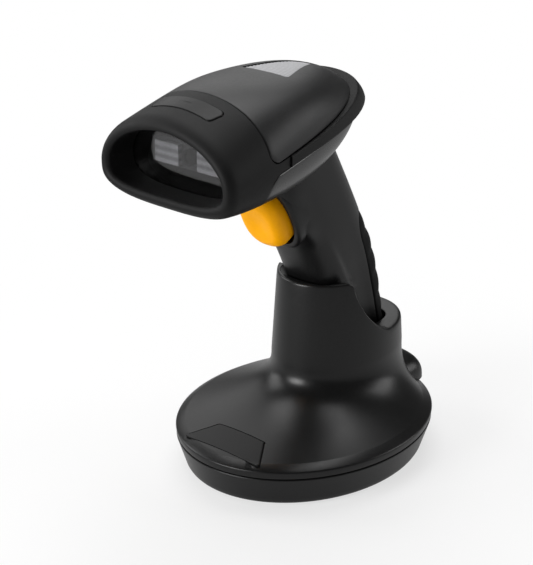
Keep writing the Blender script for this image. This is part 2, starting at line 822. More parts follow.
def cavity_ring(at, grow):
    """A section of the socket that takes the grip: its foot fits the grip's foot, its mouth the rim."""
    share = at / GRIP_RIM_AT
    foot_half, foot_front, foot_back = GRIP_FOOT
    rim_half, rim_front, rim_back = GRIP_RIM
    half = mix(foot_half + SEAT_CLEARANCE, rim_half + MOUTH_CLEARANCE, share) + grow
    front = mix(foot_front + SEAT_CLEARANCE, rim_front + MOUTH_CLEARANCE, share) + grow
    back = mix(foot_back + SEAT_CLEARANCE, rim_back + MOUTH_CLEARANCE, share) + grow
    chord = grip_axis(GRIP_RIM_AT) - SEAT
    centre = SEAT + chord * share
    forward = Vector((0.0, -LIFT.z, LIFT.y))
    ring = []
    for k in range(GRIP_SIDES):
        angle = 2.0 * math.pi * k / GRIP_SIDES
        across = half * signed_power(math.cos(angle), 2.0 / GRIP_SQUARENESS)
        reach = front if math.sin(angle) > 0.0 else back
        out = reach * signed_power(math.sin(angle), 2.0 / GRIP_SQUARENESS)
        ring.append(centre + Vector((across, 0.0, 0.0)) + forward * out)
    return ring


def rim_outline():
    """Side view of what is cut off the neck: a high front, a round corner, and a low rear lip."""
    top = NECK_TOP_Z + NECK_TOP_HALF_LENGTH
    ahead = NECK_Y - 2.0 * NECK_TOP_HALF_LENGTH
    behind = NECK_Y + 2.0 * NECK_FOOT_HALF_LENGTH
    outline = [(ahead, NECK_TOP_Z)]
    for k in range(RIM_CORNER_STEPS + 1):
        angle = 0.5 * math.pi * k / RIM_CORNER_STEPS
        y = RIM_CORNER_Y - RIM_CORNER_RADIUS + RIM_CORNER_RADIUS * math.sin(angle)
        z = NECK_TOP_Z - RIM_CORNER_RADIUS + RIM_CORNER_RADIUS * math.cos(angle)
        outline.append((y, z))
    drop = NECK_TOP_Z - RIM_CORNER_RADIUS - RIM_REAR_Z
    for k in range(1, RIM_FALL_STEPS + 1):
        share = k / RIM_FALL_STEPS
        y = mix(RIM_CORNER_Y, RIM_NOTCH_Y, share**RIM_FALL_SPACING)
        outline.append((y, RIM_REAR_Z + drop * (1.0 - share) ** RIM_FALL_POWER))
    outline.append((behind, RIM_REAR_Z))
    outline.append((behind, top))
    outline.append((ahead, top))
    return outline


def extruded(outline, half):
    """An outline in Y and Z, extruded to both sides of the plane of symmetry."""
    rings = []
    for x in (-half, half):
        rings.append([Vector((x, y, z)) for y, z in outline])
    return loft(rings)


def seat_frame(at=0.0):
    """Axes at the seat: X to the right, Y out of the grip's front, Z along the way out."""
    forward = Vector((0.0, -LIFT.z, LIFT.y))
    frame = Matrix((forward.cross(LIFT), forward, LIFT)).transposed().to_4x4()
    frame.translation = SEAT + LIFT * at
    return frame


def build_cradle_shell():
    skirt = SEAM_Z + 0.5 * GAP
    rings = [
        oval(BASE_HALF_WIDTH - SEAM_STEP, BASE_HALF_LENGTH - SEAM_STEP, skirt),
        oval(BASE_HALF_WIDTH, BASE_HALF_LENGTH, BASE_EDGE_Z),
    ]
    rings += [bell_ring(z) for z in bell_levels(NECK_TOP_Z + CUT_REACH)]
    shell = make_node("cradle_shell", loft(rings), BLACK_SATIN, CRADLE_FRAME)

    hood_rear = BASE_HALF_LENGTH - HOOD_REAR_INSET
    cut(shell, hood_shape(0.0, hood_rear), "UNION")

    wall = CRADLE_WALL
    hollow = [
        oval(BASE_HALF_WIDTH - wall, BASE_HALF_LENGTH - wall, skirt - 2.0 * wall),
        oval(BASE_HALF_WIDTH - wall, BASE_HALF_LENGTH - wall, BASE_EDGE_Z - wall / 3.0),
    ]
    hollow += [lowered(bell_ring(z, wall), wall) for z in bell_levels(HOLLOW_TOP_Z)]
    inside = make_helper("cradle_hollow", loft(hollow))
    cut(inside, hood_shape(wall, hood_rear), "UNION")
    cut(inside, loft([cavity_ring(at, wall) for at in (-SEAT_FLOOR - GAP, GRIP_WAIST_AT)]))
    cut_by(shell, inside)

    cut(shell, loft([cavity_ring(at, 0.0) for at in (-GAP, GRIP_WAIST_AT)]))
    cut(shell, extruded(rim_outline(), 2.0 * NECK_TOP_HALF_WIDTH))

    for x, y in tray_screw_places():
        boss_foot = FOOT_PROUD + 2.0 * TRAY_FLOOR + SCREW_SEAT + GAP
        outward = 1.0 + SCREW_BOSS_RADIUS / math.hypot(x, y)
        boss_top = bell_height(x * outward, y * outward) - wall + OVERLAP
        cut(shell, placed(rod(SCREW_BOSS_RADIUS, boss_foot, boss_top), at_plan(x, y)), "UNION")
        pilot = rod(SCREW_SHANK_RADIUS + GAP, boss_foot - OVERLAP, boss_top - PILOT_END, SCREW_SIDES)
        cut(shell, placed(pilot, at_plan(x, y)))

    length, width = BLOCK_SIZE
    hole = box(
        (-length / 2.0 - GAP, -width / 2.0 - GAP, -SEAT_FLOOR - CUT_REACH),
        (length / 2.0 + GAP, width / 2.0 + GAP, CUT_REACH),
    )
    cut(shell, placed(hole, seat_frame()))

    low, high = socket_corners()
    opening = box(
        (low[0] - GAP, hood_rear - 2.0 * wall, low[2] - GAP),
        (high[0] + GAP, hood_rear + 2.0 * wall, high[2] + GAP),
    )
    cut(shell, opening)
    cut(shell, slab(*base_badge_grids(GAP, CUT_REACH, BADGE_THICKNESS)))


def lowered(ring, by):
    return [point - Vector((0.0, 0.0, by)) for point in ring]


def at_plan(x, y, z=0.0):
    return Matrix.Translation((x, y, z))


def hood_shape(inset, rear):
    """A rounded hood that runs out of the bell to the rear of the base."""
    half = HOOD_HALF_WIDTH - inset
    top = HOOD_TOP_Z - inset
    foot = BASE_EDGE_Z - (CRADLE_WALL if inset else 0.0)
    front = rear - HOOD_DEPTH
    rings = []
    for share, size in HOOD_ENDING:
        y = mix(front, rear - inset, share)
        ring = []
        for k in range(HOOD_SIDES + 1):
            angle = math.pi * k / HOOD_SIDES
            x = half * mix(1.0, size, 0.5) * signed_power(math.cos(angle), 2.0 / HOOD_ROUNDING)
            z = foot + (top - foot) * size * signed_power(math.sin(angle), 2.0 / HOOD_ROUNDING)
            ring.append(Vector((x, y, z)))
        rings.append(ring)
    return loft(rings)


def tray_screw_places():
    return [(x, y) for y in (-TRAY_SCREW_Y, TRAY_SCREW_Y) for x in (-TRAY_SCREW_X, TRAY_SCREW_X)]


def foot_places():
    return [(x, y) for y in (-FOOT_Y, FOOT_Y) for x in (-FOOT_X, FOOT_X)]


CORNER_NAMES = ("front_left", "front_right", "rear_left", "rear_right")


def build_base_tray():
    top = SEAM_Z - 0.5 * GAP
    floor = FOOT_PROUD + TRAY_FLOOR
    taper = TRAY_TAPER
    wall = CRADLE_WALL
    width = BASE_HALF_WIDTH - SEAM_STEP
    length = BASE_HALF_LENGTH - SEAM_STEP
    rings = [
        oval(width - taper, length - taper, FOOT_PROUD),
        oval(width, length, top),
        oval(width - wall, length - wall, top),
        oval(width - wall - taper, length - wall - taper, floor),
    ]
    tray = make_node("base_tray", loft(rings), BLACK_SATIN, CRADLE_FRAME)
    board_foot = cradle_board_z() - GAP
    for x, y in board_post_places():
        cut(tray, placed(rod(POST_RADIUS, floor - OVERLAP, board_foot, SCREW_SIDES), at_plan(x, y)), "UNION")
    for x, y in tray_screw_places():
        seat = FOOT_PROUD + 2.0 * TRAY_FLOOR
        pad = rod(SCREW_BOSS_RADIUS + wall, floor - OVERLAP, seat + SCREW_SEAT)
        cut(tray, placed(pad, at_plan(x, y)), "UNION")
        recess = turned(
            [
                (SCREW_HEAD_RADIUS + RUNNING_GAP, 0.0),
                (SCREW_HEAD_RADIUS + RUNNING_GAP, seat),
                (SCREW_SHANK_RADIUS + RUNNING_GAP, seat),
                (SCREW_SHANK_RADIUS + RUNNING_GAP, seat + 2.0 * SCREW_SEAT),
            ],
            SCREW_SIDES,
        )
        cut(tray, placed(recess, at_plan(x, y)))
    for x, y in foot_places():
        cut(tray, placed(rod(FOOT_RADIUS + GAP, 0.0, FOOT_HEIGHT + GAP), at_plan(x, y)))


def build_tray_screws():
    for name, (x, y) in zip(CORNER_NAMES, tray_screw_places()):
        seat = FOOT_PROUD + 2.0 * TRAY_FLOOR - GAP
        shape = placed(screw_shape(SCREW_LENGTH), at_plan(x, y, seat))
        make_node(f"tray_screw_{name}", shape, STEEL, CRADLE_FRAME)


def build_feet():
    for name, (x, y) in zip(CORNER_NAMES, foot_places()):
        profile = [
            (FOOT_RADIUS - FOOT_BEVEL, 0.0),
            (FOOT_RADIUS, FOOT_BEVEL),
            (FOOT_RADIUS, FOOT_HEIGHT),
        ]
        make_node(f"foot_{name}", placed(turned(profile), at_plan(x, y)), FOOT_RUBBER, CRADLE_FRAME)


def build_ballast():
    floor = FOOT_PROUD + TRAY_FLOOR + GAP
    bevel = BALLAST_BEVEL
    rings = []
    for inset, z in ((bevel, 0.0), (0.0, bevel), (0.0, BALLAST_HEIGHT - bevel), (bevel, BALLAST_HEIGHT)):
        rings.append(
            oval(BALLAST_HALF_WIDTH - inset, BALLAST_HALF_LENGTH - inset, floor + z, BALLAST_Y, GRIP_SIDES)
        )
    make_node("ballast", loft(rings), STEEL, CRADLE_FRAME)


def cradle_board_z():
    return SEAM_Z + CRADLE_BOARD_ABOVE_SEAM


def cradle_board_rear():
    return BASE_HALF_LENGTH - CRADLE_BOARD_REAR_IN


def board_post_places():
    inset = 2.0 * POST_RADIUS
    xs = (-CRADLE_BOARD_HALF_WIDTH + inset, CRADLE_BOARD_HALF_WIDTH - inset)
    ys = (CRADLE_BOARD_FRONT_Y + inset, cradle_board_rear() - inset)
    return [(x, y) for y in ys for x in xs]


def build_cradle_board():
    z = cradle_board_z()
    low = (-CRADLE_BOARD_HALF_WIDTH, CRADLE_BOARD_FRONT_Y, z)
    high = (CRADLE_BOARD_HALF_WIDTH, cradle_board_rear(), z + BOARD_THICKNESS)
    make_node("cradle_board", box(low, high), BOARD_GREEN, CRADLE_FRAME)


def socket_corners():
    foot = cradle_board_z() + BOARD_THICKNESS + GAP
    rear = BASE_HALF_LENGTH - HOOD_REAR_INSET - SOCKET_INSET
    low = (-SOCKET_WIDTH / 2.0, rear - SOCKET_DEPTH, foot)
    high = (SOCKET_WIDTH / 2.0, rear, foot + SOCKET_HEIGHT)
    return low, high


def build_cable_socket():
    low, high = socket_corners()
    socket = make_node("cable_socket", box(low, high), BLACK_SATIN, CRADLE_FRAME)
    wall = SOCKET_WALL
    mouth = box(
        (low[0] + wall, low[1] + wall, low[2] + wall),
        (high[0] - wall, high[1] + 2.0 * wall, high[2] - wall),
    )
    cut(socket, mouth)


def base_badge_grids(grow, above, below):
    """Grids just above and below the bell's surface, within the front badge's outline."""
    rear = -BASE_HALF_LENGTH + BASE_BADGE_FRONT_IN + BASE_BADGE_LENGTH
    front = rear - BASE_BADGE_LENGTH

    def grid(lift):
        return plan_patch(
            front - grow,
            rear + grow,
            BASE_BADGE_FRONT_HALF + grow,
            BASE_BADGE_REAR_HALF + grow,
            lambda x, y: bell_height(x, y) + lift,
        )

    return grid(above), grid(-below)


def build_base_badge():
    shape = slab(*base_badge_grids(0.0, BADGE_PROUD, BADGE_THICKNESS - GAP))
    make_node("base_badge", shape, BADGE_BLACK, CRADLE_FRAME)


def build_contacts():
    length, width = BLOCK_SIZE
    flange_top = -SEAT_FLOOR - 2.0 * GAP
    flange_foot = flange_top - BLOCK_FLANGE_HEIGHT
    top = -2.0 * GAP
    outline = []
    for half_x, half_y, z in (
        (length / 2.0 + BLOCK_FLANGE, width / 2.0 + BLOCK_FLANGE, flange_foot),
        (length / 2.0 + BLOCK_FLANGE, width / 2.0 + BLOCK_FLANGE, flange_top),
        (length / 2.0, width / 2.0, flange_top),
        (length / 2.0, width / 2.0, top),
    ):
        outline.append([Vector((x * half_x, y * half_y, z)) for x, y in ((-1, -1), (1, -1), (1, 1), (-1, 1))])
    block = make_node("contact_block", placed(loft(outline), seat_frame()), BLACK_SATIN, CRADLE_FRAME)
    tip = PAD_RECESS - GAP
    barrel_top = top - BARREL_SINK
    barrel_foot = barrel_top - BARREL_LENGTH
    for side, x in (("left", CONTACT_X), ("right", -CONTACT_X)):
        spot = seat_frame() @ Matrix.Translation((x, 0.0, 0.0))
        hole = rod(BARREL_RADIUS + GAP, flange_foot - OVERLAP, top + OVERLAP)
        cut(block, placed(hole, spot))
        bore = CHARGE_PIN_RADIUS + GAP
        barrel = turned(
            [
                (bore, barrel_foot + BARREL_WALL),
                (bore, barrel_top),
                (BARREL_RADIUS, barrel_top),
                (BARREL_RADIUS, barrel_foot),
            ]
        )
        make_node(f"pin_barrel_{side}", placed(barrel, spot), BRASS, CRADLE_FRAME)
        pin = turned(
            [
                (CHARGE_PIN_RADIUS, tip - CHARGE_PIN_LENGTH),
                (CHARGE_PIN_RADIUS, tip - CHARGE_PIN_RADIUS / 2.0),
                (CHARGE_PIN_RADIUS / 2.0, tip),
            ],
            SCREW_SIDES,
        )
        top_end = spot @ Vector((0.0, 0.0, tip))
        make_node(f"pin_plunger_{side}", placed(pin, spot), BRASS, CRADLE_FRAME, top_end)


# The scanner


def boot_edges(y, grow=0.0):
    """Angles of the side tab's lower and upper edges at a station."""
    low = head_angle(y, band_foot(y) + 0.5 * SEAM_GAP, grow)
    high = head_angle(y, band_top(y) - 0.5 * SEAM_GAP, grow)
    return low, high


def boot_angles(y, grow=0.0, step=0.0):
    """Angles round the nose. The first few and the middle few of them are the side tabs'."""
    low, high = boot_edges(y, grow)
    tab = [mix(low + step, high - step, k / (TAB_LINES - 1)) for k in range(TAB_LINES)]
    count = 2 * BOOT_STEPS
    crown = [mix(high, math.pi - high, k / count) for k in range(count + 1)]
    keel = [mix(math.pi - low, 2.0 * math.pi + low, k / count) for k in range(count + 1)]
    return tab + crown + [math.pi - angle for angle in reversed(tab)] + keel


def boot_ring(y, inset):
    return [head_point(y, angle, -inset) for angle in boot_angles(BOOT_REAR_Y, 0.0, TAB_EDGE)]


def boot_rear_ring(inset):
    """The nose's rear edge, which runs back further on the side tabs."""
    plain = boot_angles(BOOT_REAR_Y, -inset, TAB_EDGE)
    tabbed = boot_angles(TAB_REAR_Y, -inset)
    half = len(plain) // 2
    ring = []
    for k, angle in enumerate(plain):
        if k % half < TAB_LINES:
            ring.append(head_point(TAB_REAR_Y, tabbed[k], -inset))
        else:
            ring.append(head_point(BOOT_REAR_Y, angle, -inset))
    return ring


def build_nose_boot():
    lip = BOOT_LIP
    width = BOOT_LIP_WIDTH
    ledge = WINDOW_Y - GAP
    rings = [boot_rear_ring(0.0), boot_ring(mix(NOSE_Y, BOOT_REAR_Y, BOOT_MIDDLE), 0.0)]
    rings += [boot_ring(NOSE_Y + back * lip, share * lip) for back, share in BOOT_OUTER_LIP]
    rings += [boot_ring(NOSE_Y + back * lip, mix(lip, width, share)) for back, share in BOOT_INNER_LIP]
    rings += [
        boot_ring(ledge, width + BOOT_TUNNEL_TAPER),
        boot_ring(ledge, BOOT_WALL),
        boot_rear_ring(BOOT_WALL),
    ]
    boot = make_node("nose_boot", loft(rings, loop=True), BLACK_RUBBER, SCANNER_FRAME)
    cut(boot, slab(*nose_badge_grids(GAP, CUT_REACH, BADGE_THICKNESS)))


def nose_badge_grids(grow, above, below):
    front = NOSE_Y + NOSE_BADGE_BACK
    rear = front + NOSE_BADGE_LENGTH

    def grid(lift):
        return plan_patch(
            front - grow,
            rear + grow,
            NOSE_BADGE_FRONT_HALF + grow,
            NOSE_BADGE_REAR_HALF + grow,
            lambda x, y: crown_height(x, y) + lift,
        )

    return grid(above), grid(-below)


def build_nose_badge():
    shape = slab(*nose_badge_grids(0.0, BADGE_PROUD, BADGE_THICKNESS - GAP))
    make_node("nose_badge", shape, BADGE_BLACK, SCANNER_FRAME)


def build_top_housing():
    def level(y):
        return band_top(y) + 0.5 * SEAM_GAP

    first = BOOT_REAR_Y + SEAM_GAP
    outer = arch(level, first, HEAD_STATIONS, 0.0, True)
    inner = arch(level, first, HEAD_STATIONS, -HEAD_WALL, True)
    housing = make_node("top_housing", slab(outer, inner), BLACK_TEXTURED, SCANNER_FRAME)
    for x, y in head_screw_places():
        foot = head_screw_joint_z() + GAP
        add_inside_head(housing, placed(rod(SCREW_BOSS_RADIUS, foot, BELT_Z + HEAD_RISE), at_plan(x, y)))
        pilot_top = head_screw_seat_z() + SCREW_LENGTH + PILOT_END
        pilot = rod(SCREW_SHANK_RADIUS + GAP, foot - OVERLAP, pilot_top, SCREW_SIDES)
        cut(housing, placed(pilot, at_plan(x, y)))
    cut(housing, slab(*lens_grids(GAP, CUT_REACH, 3.0 * HEAD_WALL)))


def add_inside_head(housing, shape):
    """Joins a shape to a half of the head, cut off inside the head's wall."""
    helper = make_helper(f"{housing.name}_inside_{len(housing.modifiers)}", shape)
    cut(helper, head_solid(OVERLAP - HEAD_WALL), "INTERSECT")
    cut_by(housing, helper, "UNION")


def lens_grids(grow, above, below):
    front = NOSE_Y + LENS_FRONT_BACK
    rear = front + LENS_LENGTH

    def grid(lift):
        return plan_patch(
            front - grow,
            rear + grow,
            LENS_HALF_WIDTH + grow,
            LENS_TIP_HALF_WIDTH + grow,
            lambda x, y: crown_height(x, y) + lift,
        )

    return grid(above), grid(-below)


def lens_stem_y():
    return NOSE_Y + LENS_FRONT_BACK + LENS_LENGTH / 3.0


def build_status_lens():
    lens = make_node(
        "status_lens", slab(*lens_grids(0.0, -LENS_SUNK, HEAD_WALL)), LENS_GREY, SCANNER_FRAME
    )
    y = lens_stem_y()
    top = crown_height(0.0, y) - HEAD_WALL + OVERLAP
    foot = BOARD_Z + BOARD_THICKNESS + LED_SIZE[2] + 2.0 * GAP
    cut(lens, placed(rod(LENS_STEM_RADIUS, foot, top), at_plan(0.0, y)), "UNION")


def head_screw_places():
    y = NOSE_Y + HEAD_SCREW_BACK
    return [(-HEAD_SCREW_X, y), (HEAD_SCREW_X, y)]


def head_screw_joint_z():
    return BOARD_Z + HEAD_JOINT_ABOVE_BOARD


def head_screw_seat_z():
    x, y = head_screw_places()[1]
    return keel_height(x, y) + SCREW_HEAD_HEIGHT + SCREW_SEAT + HEAD_SCREW_SINK


def build_lower_housing():
    def level(y):
        return band_foot(y) - 0.5 * SEAM_GAP

    first = BOOT_REAR_Y + SEAM_GAP
    outer = arch(level, first, HEAD_STATIONS, 0.0, False)
    inner = arch(level, first, HEAD_STATIONS, -HEAD_WALL, False)
    housing = make_node("lower_housing", slab(outer, inner), BLACK_SATIN, SCANNER_FRAME)
    lowest = BELT_Z - HEAD_DROP
    for x, y in main_post_places():
        add_inside_head(housing, placed(rod(POST_RADIUS, lowest, BOARD_Z - GAP, SCREW_SIDES), at_plan(x, y)))
    seat = head_screw_seat_z()
    joint = head_screw_joint_z()
    for x, y in head_screw_places():
        add_inside_head(housing, placed(rod(SCREW_BOSS_RADIUS, lowest, joint), at_plan(x, y)))
        recess = turned(
            [
                (SCREW_HEAD_RADIUS + RUNNING_GAP, lowest),
                (SCREW_HEAD_RADIUS + RUNNING_GAP, seat),
                (SCREW_SHANK_RADIUS + RUNNING_GAP, seat),
                (SCREW_SHANK_RADIUS + RUNNING_GAP, joint + OVERLAP),
            ],
            SCREW_SIDES,
        )
        cut(housing, placed(recess, at_plan(x, y)))
    passage = (GRIP_TRIGGER_AT, GRIP_LENGTH + GRIP_PASSAGE)
    cut(housing, loft([grip_ring(at, -2.0 * GRIP_WALL) for at in passage]))


def main_post_places():
    inset = 2.0 * POST_RADIUS
    front = BOARD_FRONT_Y + 3.0 * inset
    rear = BOARD_FRONT_Y + BOARD_LENGTH - inset
    half = BOARD_HALF_WIDTH - inset / 2.0
    return [(-half, front), (half, front), (-half, rear), (half, rear)]


def build_head_screws():
    for side, (x, y) in zip(("left", "right"), head_screw_places()):
        shape = placed(screw_shape(SCREW_LENGTH), at_plan(x, y, head_screw_seat_z() - GAP))
        make_node(f"head_screw_{side}", shape, STEEL, SCANNER_FRAME)


def build_rear_band():
    def path(share, grow):
        def level(y):
            return mix(band_foot(y) + 0.5 * SEAM_GAP, band_top(y) - 0.5 * SEAM_GAP, share)

        first = TAB_REAR_Y + SEAM_GAP
        last = tail_end(level, grow)
        right = []
        for k in range(BAND_STEPS):
            y = mix(first, last, math.sin(0.5 * math.pi * k / BAND_STEPS))
            z = level(y)
            right.append(Vector((head_half_width(y, z, grow(y)), y, z)))
        tip = [Vector((0.0, last, level(last)))]
        left = [Vector((-point.x, point.y, point.z)) for point in reversed(right)]
        return right + tip + left

    outer = [path(r / BAND_ROWS, band_flare) for r in range(BAND_ROWS + 1)]
    inner = [path(r / BAND_ROWS, lambda y: -HEAD_WALL) for r in range(BAND_ROWS + 1)]
    make_node("rear_band", slab(outer, inner), BLACK_RUBBER, SCANNER_FRAME)


def build_scan_window():
    inset = BOOT_WALL + GAP
    rings = [boot_ring(y, inset) for y in (WINDOW_Y, WINDOW_Y + WINDOW_THICKNESS)]
    make_node("scan_window", loft(rings), WINDOW_BLACK, SCANNER_FRAME)


def build_engine():
    front = WINDOW_Y + WINDOW_THICKNESS + LIGHT_BAR_DEPTH + 3.0 * GAP
    foot = BOARD_Z + BOARD_THICKNESS + GAP
    middle = foot + ENGINE_HEIGHT / 2.0
    low = (-ENGINE_HALF_WIDTH, front, foot)
    high = (ENGINE_HALF_WIDTH, front + ENGINE_DEPTH, foot + ENGINE_HEIGHT)
    chassis = make_node("engine_chassis", box(low, high), ENGINE_GREY, SCANNER_FRAME)
    facing = Matrix.Translation((0.0, front, middle)) @ Matrix.Rotation(math.pi / 2.0, 4, "X")
    barrel = turned(
        [
            (ENGINE_LENS_RADIUS, -ENGINE_LENS_SEAT),
            (ENGINE_LENS_RADIUS, LIGHT_BAR_DEPTH),
            (ENGINE_LENS_MOUTH * ENGINE_LENS_RADIUS, LIGHT_BAR_DEPTH),
            (ENGINE_LENS_BOTTOM * ENGINE_LENS_RADIUS, 0.5 * LIGHT_BAR_DEPTH),
        ]
    )
    make_node("engine_lens", placed(barrel, facing), WINDOW_BLACK, SCANNER_FRAME)
    socket = rod(ENGINE_LENS_RADIUS + GAP, -ENGINE_LENS_SEAT - GAP, CUT_REACH)
    cut(chassis, placed(socket, facing))
    inner = ENGINE_LENS_RADIUS + LIGHT_BAR_FROM_LENS
    for side, sign in (("left", -1.0), ("right", 1.0)):
        xs = sorted((sign * inner, sign * (inner + LIGHT_BAR_WIDTH)))
        bar = box(
            (xs[0], front - GAP - LIGHT_BAR_DEPTH, middle - LIGHT_BAR_HEIGHT / 2.0),
            (xs[1], front - GAP, middle + LIGHT_BAR_HEIGHT / 2.0),
        )
        make_node(f"light_bar_{side}", bar, LIGHT_BAR_GREY, SCANNER_FRAME)


def build_main_board():
    low = (-BOARD_HALF_WIDTH, BOARD_FRONT_Y, BOARD_Z)
    high = (BOARD_HALF_WIDTH, BOARD_FRONT_Y + BOARD_LENGTH, BOARD_Z + BOARD_THICKNESS)
    make_node("main_board", box(low, high), BOARD_GREEN, SCANNER_FRAME)
    top = BOARD_Z + BOARD_THICKNESS + GAP
    middle = BOARD_FRONT_Y + 0.5 * BOARD_LENGTH
    spot = at_plan(0.5 * BOARD_HALF_WIDTH, middle, top)
    make_node("beeper", placed(rod(BEEPER_RADIUS, 0.0, BEEPER_HEIGHT), spot), BADGE_BLACK, SCANNER_FRAME)
    width, depth, height = RADIO_SIZE
    left = -BOARD_HALF_WIDTH + BOARD_EDGE
    radio = box((left, middle - depth / 2.0, top), (left + width, middle + depth / 2.0, top + height))
    make_node("radio_module", radio, STEEL, SCANNER_FRAME)
    width, depth, height = LED_SIZE
    y = lens_stem_y()
    led = box((-width / 2.0, y - depth / 2.0, top), (width / 2.0, y + depth / 2.0, top + height))
    make_node("status_led", led, LIGHT_BAR_GREY, SCANNER_FRAME)


def head_solid(grow):
    """The whole head as one solid, used to fit the grip under it."""
    sides = 2 * GRIP_SIDES
    rings = []
    for k in range(HEAD_STATIONS + 1):
        y = mix(BOOT_REAR_Y, TAIL_Y, HEAD_END * math.sin(0.5 * math.pi * k / HEAD_STATIONS))
        rings.append([head_point(y, 2.0 * math.pi * j / sides, grow) for j in range(sides)])
    return loft(rings)


def trigger_frame():
    return grip_frame(GRIP_TRIGGER_AT)


def trigger_ring(out, scale, grow=0.0, foot=0.0):
    """An outline of the trigger, at a distance out of the grip's axis."""
    ring = []
    for k in range(GRIP_SIDES):
        angle = 2.0 * math.pi * k / GRIP_SIDES
        half_height = scale * TRIGGER_HALF_HEIGHT + grow + (foot if math.sin(angle) < 0.0 else 0.0)
        x = (scale * TRIGGER_HALF_WIDTH + grow) * signed_power(math.cos(angle), 2.0 / TRIGGER_ROUNDNESS)
        z = half_height * signed_power(math.sin(angle), 2.0 / TRIGGER_ROUNDNESS)
        ring.append(trigger_frame() @ Vector((x, out, z)))
    return ring


def pivot_point():
    return trigger_frame() @ Vector((0.0, PIVOT_OUT, PIVOT_UP))


def across_frame(point):
    """Turns a shape made along Z to run along X through a point."""
    return Matrix.Translation(point) @ Matrix.Rotation(math.pi / 2.0, 4, "Y")


def bulkhead_front():
    """Distance from the grip's axis to the face that carries the switch board."""
    stack = NUB_LENGTH + PLUNGER_REACH + SWITCH_SIZE[2] + BOARD_THICKNESS + 3.0 * GAP
    return TRIGGER_INNER_END - stack


def cover_screw_frame():
    """A frame at the underside of the cover screw's head, with Z pointing into the grip."""
    back = grip_sizes(COVER_SCREW_AT)[2] - GRIP_WALL + COVER_SCREW_SEAT
    inward = Matrix.Rotation(-math.pi / 2.0, 4, "X")
    return grip_frame(COVER_SCREW_AT) @ Matrix.Translation((0.0, -back, 0.0)) @ inward


def build_handle_shell():
    levels = [END_CAP_HEIGHT + GAP, COVER_FOOT_AT, GRIP_REST_AT, 0.5 * (GRIP_REST_AT + GRIP_RIM_AT)]
    levels += [GRIP_RIM_AT, 0.5 * (GRIP_RIM_AT + GRIP_WAIST_AT), GRIP_WAIST_AT]
    levels += [0.5 * (GRIP_WAIST_AT + GRIP_TRIGGER_AT), GRIP_TRIGGER_AT]
    levels += [GRIP_LENGTH, GRIP_LENGTH + GRIP_INTO_HEAD]
    rings = [grip_ring(at) for at in levels]
    rings += [grip_ring(at, -GRIP_WALL) for at in reversed(levels)]
    shell = make_node("handle_shell", loft(rings, loop=True), BLACK_SATIN, SCANNER_FRAME)
    add_trigger_collar(shell)
    add_battery_shelf(shell)
    add_switch_bulkhead(shell)
    add_pin_ears(shell)
    depths = (TRIGGER_INNER_END - TRIGGER_HOLE_DEPTH, TRIGGER_OUTER_END + CUT_REACH)
    cut(shell, loft([trigger_ring(out, 1.0, TRIGGER_SIDE_GAP, TRIGGER_FOOT_GAP) for out in depths]))
    pin_hole = rod(PIN_RADIUS + GAP, -PIN_HALF_LENGTH - GAP, PIN_HALF_LENGTH + GAP)
    cut(shell, placed(pin_hole, across_frame(pivot_point())))
    bay_outer = cover_grid(lambda at: CUT_REACH, GAP)
    bay_inner = cover_grid(lambda at: -GRIP_WALL - 2.0 * GAP, GAP)
    cut(shell, slab(bay_outer, bay_inner))
    pilot = rod(SCREW_SHANK_RADIUS + GAP, -CUT_REACH, COVER_SCREW_LENGTH + OVERLAP, SCREW_SIDES)
    cut(shell, placed(pilot, cover_screw_frame()))
    cut(shell, head_solid(GAP))


def add_trigger_collar(shell):
    collar = TRIGGER_SIDE_GAP + TRIGGER_COLLAR
    foot = TRIGGER_FOOT_GAP
    bezel = [
        trigger_ring(TRIGGER_INNER_END, 1.0, collar, foot),
        trigger_ring(COLLAR_FRONT - COLLAR_ROUNDING, 1.0, collar, foot),
        trigger_ring(COLLAR_FRONT, 1.0, TRIGGER_SIDE_GAP + 0.5 * TRIGGER_COLLAR, foot),
    ]
    cut(shell, loft(bezel), "UNION")


def add_battery_shelf(shell):
    shelf = [grip_ring(at, -0.5 * GRIP_WALL) for at in (SHELF_AT, SHELF_AT + SHELF_THICKNESS)]
    cut(shell, loft(shelf), "UNION")
    depth = grip_sizes(COVER_SCREW_AT)[2] - GRIP_WALL
    low = (-SCREW_BOSS_RADIUS, -depth - OVERLAP, -COVER_SCREW_ABOVE_SHELF - 0.5 * SHELF_THICKNESS)
    high = (SCREW_BOSS_RADIUS, COVER_SCREW_LENGTH - depth + PILOT_END, SCREW_BOSS_RADIUS)
    cut(shell, placed(box(low, high), grip_frame(COVER_SCREW_AT)), "UNION")


def add_switch_bulkhead(shell):
    width, height = SWITCH_BOARD_SIZE
    back = bulkhead_front()
    low = (-2.0 * width, back - BULKHEAD_THICKNESS, -NUB_DOWN - height / 2.0)
    high = (2.0 * width, back, -NUB_DOWN + height / 2.0)
    web = make_helper("bulkhead_web", placed(box(low, high), trigger_frame()))
    cut(web, loft([grip_ring(at, -0.5 * GRIP_WALL) for at in (SHELF_AT, GRIP_LENGTH)]), "INTERSECT")
    cut_by(shell, web, "UNION")


def add_pin_ears(shell):
    inner = LUG_HALF_WIDTH + 2.0 * GAP
    outer = GRIP_TRIGGER[0] - 0.5 * GRIP_WALL
    for turn in (0.0, math.pi):
        ear = placed(rod(LUG_RADIUS, inner, outer), Matrix.Rotation(turn, 4, "Y"))
        cut(shell, placed(ear, across_frame(pivot_point())), "UNION")


def cover_half_angle(at, gap=0.0):
    """Half of the angle that the cover spans, with a gap round it. Its two upper corners are round."""
    into = max(at - COVER_TOP_AT - gap + COVER_CORNER, 0.0) / COVER_CORNER
    turn = 1.0 - math.sqrt(max(1.0 - into * into, 0.0))
    return COVER_HALF_ANGLE + gap / GRIP_RIM[0] - COVER_CORNER_ANGLE * turn


